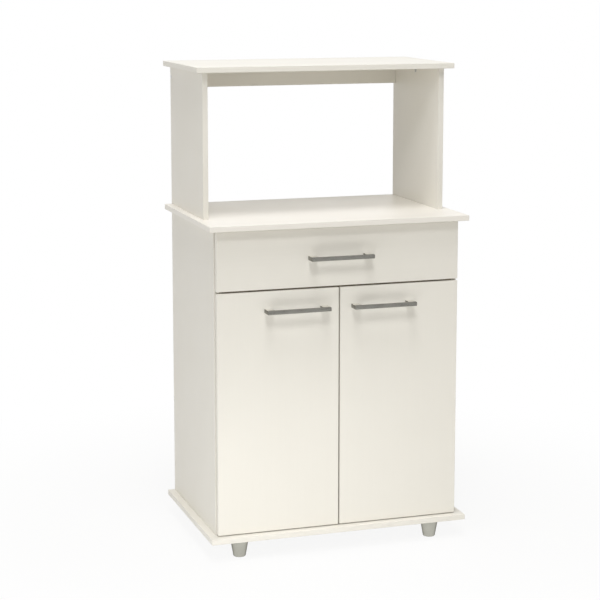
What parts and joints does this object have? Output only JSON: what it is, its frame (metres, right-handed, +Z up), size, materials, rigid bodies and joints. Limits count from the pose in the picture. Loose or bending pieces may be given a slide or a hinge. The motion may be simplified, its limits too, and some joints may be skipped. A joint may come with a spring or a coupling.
{
  "type": "microwave cart",
  "caption": "Freestanding kitchen cabinet on tapered feet with hinged doors, a drawer and an open hutch above the worktop for a microwave oven.",
  "frame": {"origin": "on the floor, at the centre of the cart's bounding box seen from above", "axes": "+Z up, the doors and drawer face -Y, +X to the right for a person facing the doors"},
  "size_m": [0.6, 0.4096, 1.08],
  "materials": {
    "laminate_board": "off-white melamine faced chipboard, satin",
    "thin_board": "white faced hardboard",
    "handle_metal": "satin grey lacquer",
    "foot_plastic": "satin grey moulded plastic",
    "dowel_beech": "raw beech",
    "roller_nylon": "white nylon",
    "runner_steel": "white powder coat",
    "fitting_steel": "zinc plated steel"
  },
  "bodies": {
    "cabinet": {"base_panel": "laminate_board", "cabinet_side_left": "laminate_board", "cabinet_side_right": "laminate_board", "worktop": "laminate_board", "hutch_side_left": "laminate_board", "hutch_side_right": "laminate_board", "top_shelf": "laminate_board", "hutch_back_rail": "laminate_board", "cabinet_back_panel": "thin_board", "inner_shelf": "laminate_board", "shelf_pins": "fitting_steel", "front_rail": "laminate_board", "runner_cabinet_left": "runner_steel", "runner_cabinet_right": "runner_steel", "foot_front_left": "foot_plastic", "foot_front_right": "foot_plastic", "foot_rear_left": "foot_plastic", "foot_rear_right": "foot_plastic", "foot_screws": "fitting_steel", "cam_locks": "fitting_steel", "cam_bolts": "fitting_steel", "dowels": "dowel_beech", "panel_screws": "fitting_steel", "hinge_plates": "fitting_steel", "hinge_plate_screws": "fitting_steel", "left_hinge_arms": "fitting_steel", "right_hinge_arms": "fitting_steel", "cabinet_runner_screws": "fitting_steel"},
    "left_outer_link": {"left_outer_links": "fitting_steel"},
    "left_door": {"left_door_panel": "laminate_board", "left_hinge_cups": "fitting_steel", "left_cup_screws": "fitting_steel", "left_door_handle": "handle_metal", "left_handle_screws": "fitting_steel"},
    "left_inner_link": {"left_inner_links": "fitting_steel"},
    "right_outer_link": {"right_outer_links": "fitting_steel"},
    "right_door": {"right_door_panel": "laminate_board", "right_hinge_cups": "fitting_steel", "right_cup_screws": "fitting_steel", "right_door_handle": "handle_metal", "right_handle_screws": "fitting_steel"},
    "right_inner_link": {"right_inner_links": "fitting_steel"},
    "drawer": {"drawer_front": "laminate_board", "drawer_side_left": "laminate_board", "drawer_side_right": "laminate_board", "drawer_back": "laminate_board", "drawer_bottom": "thin_board", "runner_drawer_left": "runner_steel", "runner_drawer_right": "runner_steel", "drawer_handle": "handle_metal", "drawer_handle_screws": "fitting_steel", "drawer_runner_screws": "fitting_steel", "drawer_cam_locks": "fitting_steel", "drawer_cam_bolts": "fitting_steel", "drawer_dowels": "dowel_beech", "drawer_screws": "fitting_steel"},
    "cabinet_roller_left": {"roller_cabinet_left": "roller_nylon"},
    "drawer_roller_left": {"roller_drawer_left": "roller_nylon"},
    "cabinet_roller_right": {"roller_cabinet_right": "roller_nylon"},
    "drawer_roller_right": {"roller_drawer_right": "roller_nylon"}
  },
  "joints": [
    {"name": "left_outer_link_pivot", "type": "hinge", "parent": "cabinet", "child": "left_outer_link", "pos_m": [-0.25401, -0.15073, 0.3265], "axis": [0, 0, -1], "range_deg": [-19.1, 0.1]},
    {"name": "left_door_hinge", "type": "hinge", "parent": "left_outer_link", "child": "left_door", "pos_m": [-0.27283, -0.16852, 0.3265], "axis": [0, 0, -1], "range_deg": [0, 114]},
    {"name": "left_inner_link_pivot", "type": "hinge", "parent": "cabinet", "child": "left_inner_link", "pos_m": [-0.26503, -0.17176, 0.3265], "axis": [0, 0, -1], "range_deg": [-45.7, 0.1]},
    {"name": "right_outer_link_pivot", "type": "hinge", "parent": "cabinet", "child": "right_outer_link", "pos_m": [0.25401, -0.15073, 0.3265], "axis": [0, 0, 1], "range_deg": [-19.1, 0.1]},
    {"name": "right_door_hinge", "type": "hinge", "parent": "right_outer_link", "child": "right_door", "pos_m": [0.27283, -0.16852, 0.3265], "axis": [0, 0, 1], "range_deg": [0, 114]},
    {"name": "right_inner_link_pivot", "type": "hinge", "parent": "cabinet", "child": "right_inner_link", "pos_m": [0.26503, -0.17176, 0.3265], "axis": [0, 0, 1], "range_deg": [-45.7, 0.1]},
    {"name": "drawer_slide", "type": "slide", "parent": "cabinet", "child": "drawer", "axis": [0, -1, 0], "range_m": [0, 0.24]},
    {"name": "cabinet_roller_left_spin", "type": "hinge", "parent": "cabinet", "child": "cabinet_roller_left", "pos_m": [-0.266, -0.14125, 0.619], "axis": [1, 0, 0], "range_deg": [-5, 1725]},
    {"name": "drawer_roller_left_spin", "type": "hinge", "parent": "drawer", "child": "drawer_roller_left", "pos_m": [-0.2635, 0.13075, 0.619], "axis": [1, 0, 0], "range_deg": [-5, 1725]},
    {"name": "cabinet_roller_right_spin", "type": "hinge", "parent": "cabinet", "child": "cabinet_roller_right", "pos_m": [0.266, -0.14125, 0.619], "axis": [1, 0, 0], "range_deg": [-5, 1725]},
    {"name": "drawer_roller_right_spin", "type": "hinge", "parent": "drawer", "child": "drawer_roller_right", "pos_m": [0.2635, 0.13075, 0.619], "axis": [1, 0, 0], "range_deg": [-5, 1725]}
  ],
  "couplings": [
    {"joint": "left_outer_link_pivot", "follows": "left_door_hinge", "ratio": -0.16667},
    {"joint": "left_inner_link_pivot", "follows": "left_door_hinge", "ratio": -0.4},
    {"joint": "right_outer_link_pivot", "follows": "right_door_hinge", "ratio": -0.16667},
    {"joint": "right_inner_link_pivot", "follows": "right_door_hinge", "ratio": -0.4},
    {"joint": "cabinet_roller_left_spin", "follows": "drawer_slide", "rad_per_m": 125},
    {"joint": "drawer_roller_left_spin", "follows": "drawer_slide", "rad_per_m": 125},
    {"joint": "cabinet_roller_right_spin", "follows": "drawer_slide", "rad_per_m": 125},
    {"joint": "drawer_roller_right_spin", "follows": "drawer_slide", "rad_per_m": 125}
  ]
}
